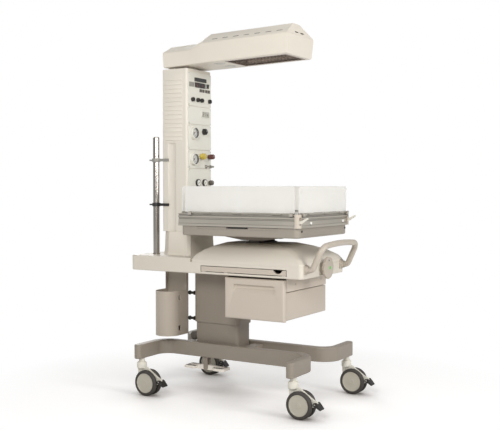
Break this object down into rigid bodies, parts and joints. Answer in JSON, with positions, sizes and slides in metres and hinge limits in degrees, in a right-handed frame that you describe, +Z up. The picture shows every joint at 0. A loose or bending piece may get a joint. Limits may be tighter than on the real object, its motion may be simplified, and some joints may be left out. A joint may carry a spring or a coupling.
{
  "type": "infant resuscitation unit",
  "caption": "Wheeled newborn resuscitation unit: tilting clear-walled bassinet on a lifting column, with a radiant heater head, gas controls, shelf, drawer and push handle.",
  "frame": {"origin": "on the floor under the middle of the outline", "axes": "+Z up, -Y the front where the operator stands, +X the operator's right"},
  "size_m": [0.664, 1.1386, 1.8438],
  "materials": {
    "leg_casting": "painted satin",
    "painted_frame": "painted satin",
    "column_paint": "painted satin",
    "lift_steel": "machined",
    "shell_plastic": "fine textured",
    "panel_plastic": "fine textured",
    "dark_plastic": "fine textured",
    "pedal_plastic": "satin",
    "castor_plastic": "satin",
    "tyre_rubber": "matt",
    "handle_paint": "satin",
    "pole_steel": "polished",
    "rail_aluminium": "satin anodised",
    "clear_acrylic": "polished clear",
    "lens": "polished clear",
    "mattress_cover": "smooth wipe-clean",
    "knob_yellow": "gloss",
    "knob_red": "gloss",
    "heater_metal": "polished inside",
    "grille_wire": "bright wire"
  },
  "bodies": {
    "base": {"base_leg_left": "leg_casting", "base_leg_right": "leg_casting", "base_cross_frame": "painted_frame", "column_post": "painted_frame", "lift_actuator": "dark_plastic"},
    "carriage": {"lift_inner_tube": "lift_steel", "column_cover": "column_paint", "shelf": "shell_plastic", "dome_cover": "shell_plastic", "column_plinth": "shell_plastic", "upper_column_housing": "column_paint", "push_handle": "handle_paint", "drawer_runners": "column_paint", "cylinder_holder": "column_paint", "column_brackets": "dark_plastic", "accessory_pole": "pole_steel", "control_panels": "panel_plastic", "gauge_cases": "dark_plastic", "gauge_lenses": "lens", "tilt_base": "dark_plastic"},
    "bassinet": {"tilt_cradle": "dark_plastic", "bassinet_pan": "shell_plastic", "bassinet_rails": "rail_aluminium", "corner_posts": "castor_plastic", "mattress_deck": "panel_plastic", "mattress": "mattress_cover", "panel_rear": "clear_acrylic"},
    "head": {"hood_lower": "shell_plastic", "hood_top_cover": "shell_plastic", "heater_grille": "grille_wire", "heater_element": "heater_metal", "lamp_lenses": "lens"},
    "height_pedal": {"height_pedal": "pedal_plastic"},
    "drawer": {"drawer": "shell_plastic"},
    "side_tray": {"side_tray": "panel_plastic"},
    "xray_tray": {"xray_tray": "panel_plastic"},
    "panel_left": {"panel_left": "clear_acrylic"},
    "panel_right": {"panel_right": "clear_acrylic"},
    "panel_front": {"panel_front": "clear_acrylic"},
    "corner_lever_left": {"corner_lever_left": "panel_plastic"},
    "corner_lever_right": {"corner_lever_right": "panel_plastic"},
    "tilt_knob": {"tilt_knob": "shell_plastic"},
    "oxygen_knob": {"oxygen_knob": "knob_yellow"},
    "pressure_knob": {"pressure_knob": "knob_red"},
    "suction_knob": {"suction_knob": "dark_plastic"},
    "power_switch": {"power_switch": "dark_plastic"},
    "gauge_needle_lower": {"gauge_needle_lower": "dark_plastic"},
    "gauge_needle_upper": {"gauge_needle_upper": "dark_plastic"},
    "castor_front_left": {"castor_housing_front_left": "castor_plastic"},
    "wheels_front_left": {"castor_wheels_front_left": "tyre_rubber"},
    "brake_front_left": {"castor_brake_front_left": "dark_plastic"},
    "castor_front_right": {"castor_housing_front_right": "castor_plastic"},
    "wheels_front_right": {"castor_wheels_front_right": "tyre_rubber"},
    "brake_front_right": {"castor_brake_front_right": "dark_plastic"},
    "castor_rear_left": {"castor_housing_rear_left": "castor_plastic"},
    "wheels_rear_left": {"castor_wheels_rear_left": "tyre_rubber"},
    "brake_rear_left": {"castor_brake_rear_left": "dark_plastic"},
    "castor_rear_right": {"castor_housing_rear_right": "castor_plastic"},
    "wheels_rear_right": {"castor_wheels_rear_right": "tyre_rubber"},
    "brake_rear_right": {"castor_brake_rear_right": "dark_plastic"}
  },
  "joints": [
    {"name": "lift_slide", "type": "slide", "parent": "base", "child": "carriage", "axis": [0, 0, 1], "range_m": [0, 0.3]},
    {"name": "pedal_rock", "type": "hinge", "parent": "base", "child": "height_pedal", "pos_m": [-0.088, 0.183, 0.132], "axis": [1, 0, 0], "range_deg": [-8, 8], "stiffness_Nm_per_rad": 25},
    {"name": "castor_swivel_front_left", "type": "hinge", "parent": "base", "child": "castor_front_left", "pos_m": [-0.286, -0.424, 0.15], "axis": [0, 0, 1], "continuous": true},
    {"name": "wheel_spin_front_left", "type": "hinge", "parent": "castor_front_left", "child": "wheels_front_left", "pos_m": [-0.286, -0.465, 0.065], "axis": [1, 0, 0], "continuous": true},
    {"name": "brake_press_front_left", "type": "hinge", "parent": "castor_front_left", "child": "brake_front_left", "pos_m": [-0.286, -0.54, 0.076], "axis": [1, 0, 0], "range_deg": [0, 12]},
    {"name": "castor_swivel_front_right", "type": "hinge", "parent": "base", "child": "castor_front_right", "pos_m": [0.286, -0.424, 0.15], "axis": [0, 0, 1], "continuous": true},
    {"name": "wheel_spin_front_right", "type": "hinge", "parent": "castor_front_right", "child": "wheels_front_right", "pos_m": [0.286, -0.465, 0.065], "axis": [1, 0, 0], "continuous": true},
    {"name": "brake_press_front_right", "type": "hinge", "parent": "castor_front_right", "child": "brake_front_right", "pos_m": [0.286, -0.54, 0.076], "axis": [1, 0, 0], "range_deg": [0, 12]},
    {"name": "castor_swivel_rear_left", "type": "hinge", "parent": "base", "child": "castor_rear_left", "pos_m": [-0.286, 0.449, 0.15], "axis": [0, 0, 1], "continuous": true},
    {"name": "wheel_spin_rear_left", "type": "hinge", "parent": "castor_rear_left", "child": "wheels_rear_left", "pos_m": [-0.286, 0.408, 0.065], "axis": [1, 0, 0], "continuous": true},
    {"name": "brake_press_rear_left", "type": "hinge", "parent": "castor_rear_left", "child": "brake_rear_left", "pos_m": [-0.286, 0.333, 0.076], "axis": [1, 0, 0], "range_deg": [0, 12]},
    {"name": "castor_swivel_rear_right", "type": "hinge", "parent": "base", "child": "castor_rear_right", "pos_m": [0.286, 0.449, 0.15], "axis": [0, 0, 1], "continuous": true},
    {"name": "wheel_spin_rear_right", "type": "hinge", "parent": "castor_rear_right", "child": "wheels_rear_right", "pos_m": [0.286, 0.408, 0.065], "axis": [1, 0, 0], "continuous": true},
    {"name": "brake_press_rear_right", "type": "hinge", "parent": "castor_rear_right", "child": "brake_rear_right", "pos_m": [0.286, 0.333, 0.076], "axis": [1, 0, 0], "range_deg": [0, 12]},
    {"name": "drawer_slide", "type": "slide", "parent": "carriage", "child": "drawer", "axis": [-1, 0, 0], "range_m": [0, 0.36]},
    {"name": "side_tray_slide", "type": "slide", "parent": "carriage", "child": "side_tray", "axis": [-1, 0, 0], "range_m": [0, 0.2]},
    {"name": "bassinet_tilt", "type": "hinge", "parent": "carriage", "child": "bassinet", "pos_m": [0, -0.09, 0.797], "axis": [1, 0, 0], "range_deg": [-10, 10]},
    {"name": "tilt_knob_turn", "type": "hinge", "parent": "carriage", "child": "tilt_knob", "pos_m": [0, -0.447, 0.664], "axis": [0, -1, 0], "range_deg": [-180, 180]},
    {"name": "xray_tray_slide", "type": "slide", "parent": "bassinet", "child": "xray_tray", "axis": [1, 0, 0], "range_m": [-0.3, 0]},
    {"name": "panel_left_drop", "type": "hinge", "parent": "bassinet", "child": "panel_left", "pos_m": [-0.277, -0.1065, 0.928], "axis": [0, -1, 0], "range_deg": [0, 180]},
    {"name": "panel_right_drop", "type": "hinge", "parent": "bassinet", "child": "panel_right", "pos_m": [0.277, -0.1065, 0.928], "axis": [0, 1, 0], "range_deg": [0, 180]},
    {"name": "panel_front_drop", "type": "hinge", "parent": "bassinet", "child": "panel_front", "pos_m": [0, -0.4495, 0.928], "axis": [1, 0, 0], "range_deg": [0, 180]},
    {"name": "corner_lever_left_lift", "type": "hinge", "parent": "bassinet", "child": "corner_lever_left", "pos_m": [-0.258, -0.4375, 0.889], "axis": [-1, 0, 0], "range_deg": [0, 25]},
    {"name": "corner_lever_right_lift", "type": "hinge", "parent": "bassinet", "child": "corner_lever_right", "pos_m": [0.258, -0.4375, 0.889], "axis": [-1, 0, 0], "range_deg": [0, 25]},
    {"name": "head_swivel", "type": "hinge", "parent": "carriage", "child": "head", "pos_m": [0, 0.36975, 1.67], "axis": [0, 0, 1], "range_deg": [-90, 90]},
    {"name": "oxygen_knob_turn", "type": "hinge", "parent": "carriage", "child": "oxygen_knob", "pos_m": [0.008, 0.271, 1.211], "axis": [0, 1, 0], "range_deg": [0, 270]},
    {"name": "pressure_knob_turn", "type": "hinge", "parent": "carriage", "child": "pressure_knob", "pos_m": [0.08, 0.269, 1.211], "axis": [0, 1, 0], "range_deg": [0, 270]},
    {"name": "suction_knob_turn", "type": "hinge", "parent": "carriage", "child": "suction_knob", "pos_m": [0.088, 0.275, 1.074], "axis": [0, 1, 0], "range_deg": [0, 270]},
    {"name": "gauge_needle_lower_swing", "type": "hinge", "parent": "carriage", "child": "gauge_needle_lower", "pos_m": [-0.06, 0.279, 1.196], "axis": [0, 1, 0], "range_deg": [0, 270], "stiffness_Nm_per_rad": 0.0005},
    {"name": "gauge_needle_upper_swing", "type": "hinge", "parent": "carriage", "child": "gauge_needle_upper", "pos_m": [-0.06, 0.279, 1.33], "axis": [0, 1, 0], "range_deg": [0, 270], "stiffness_Nm_per_rad": 0.0005},
    {"name": "power_switch_rock", "type": "hinge", "parent": "carriage", "child": "power_switch", "pos_m": [0.074, 0.287, 1.581], "axis": [-1, 0, 0], "range_deg": [0, 9]}
  ],
  "couplings": [
    {"joint": "tilt_knob_turn", "follows": "bassinet_tilt", "ratio": 18}
  ]
}
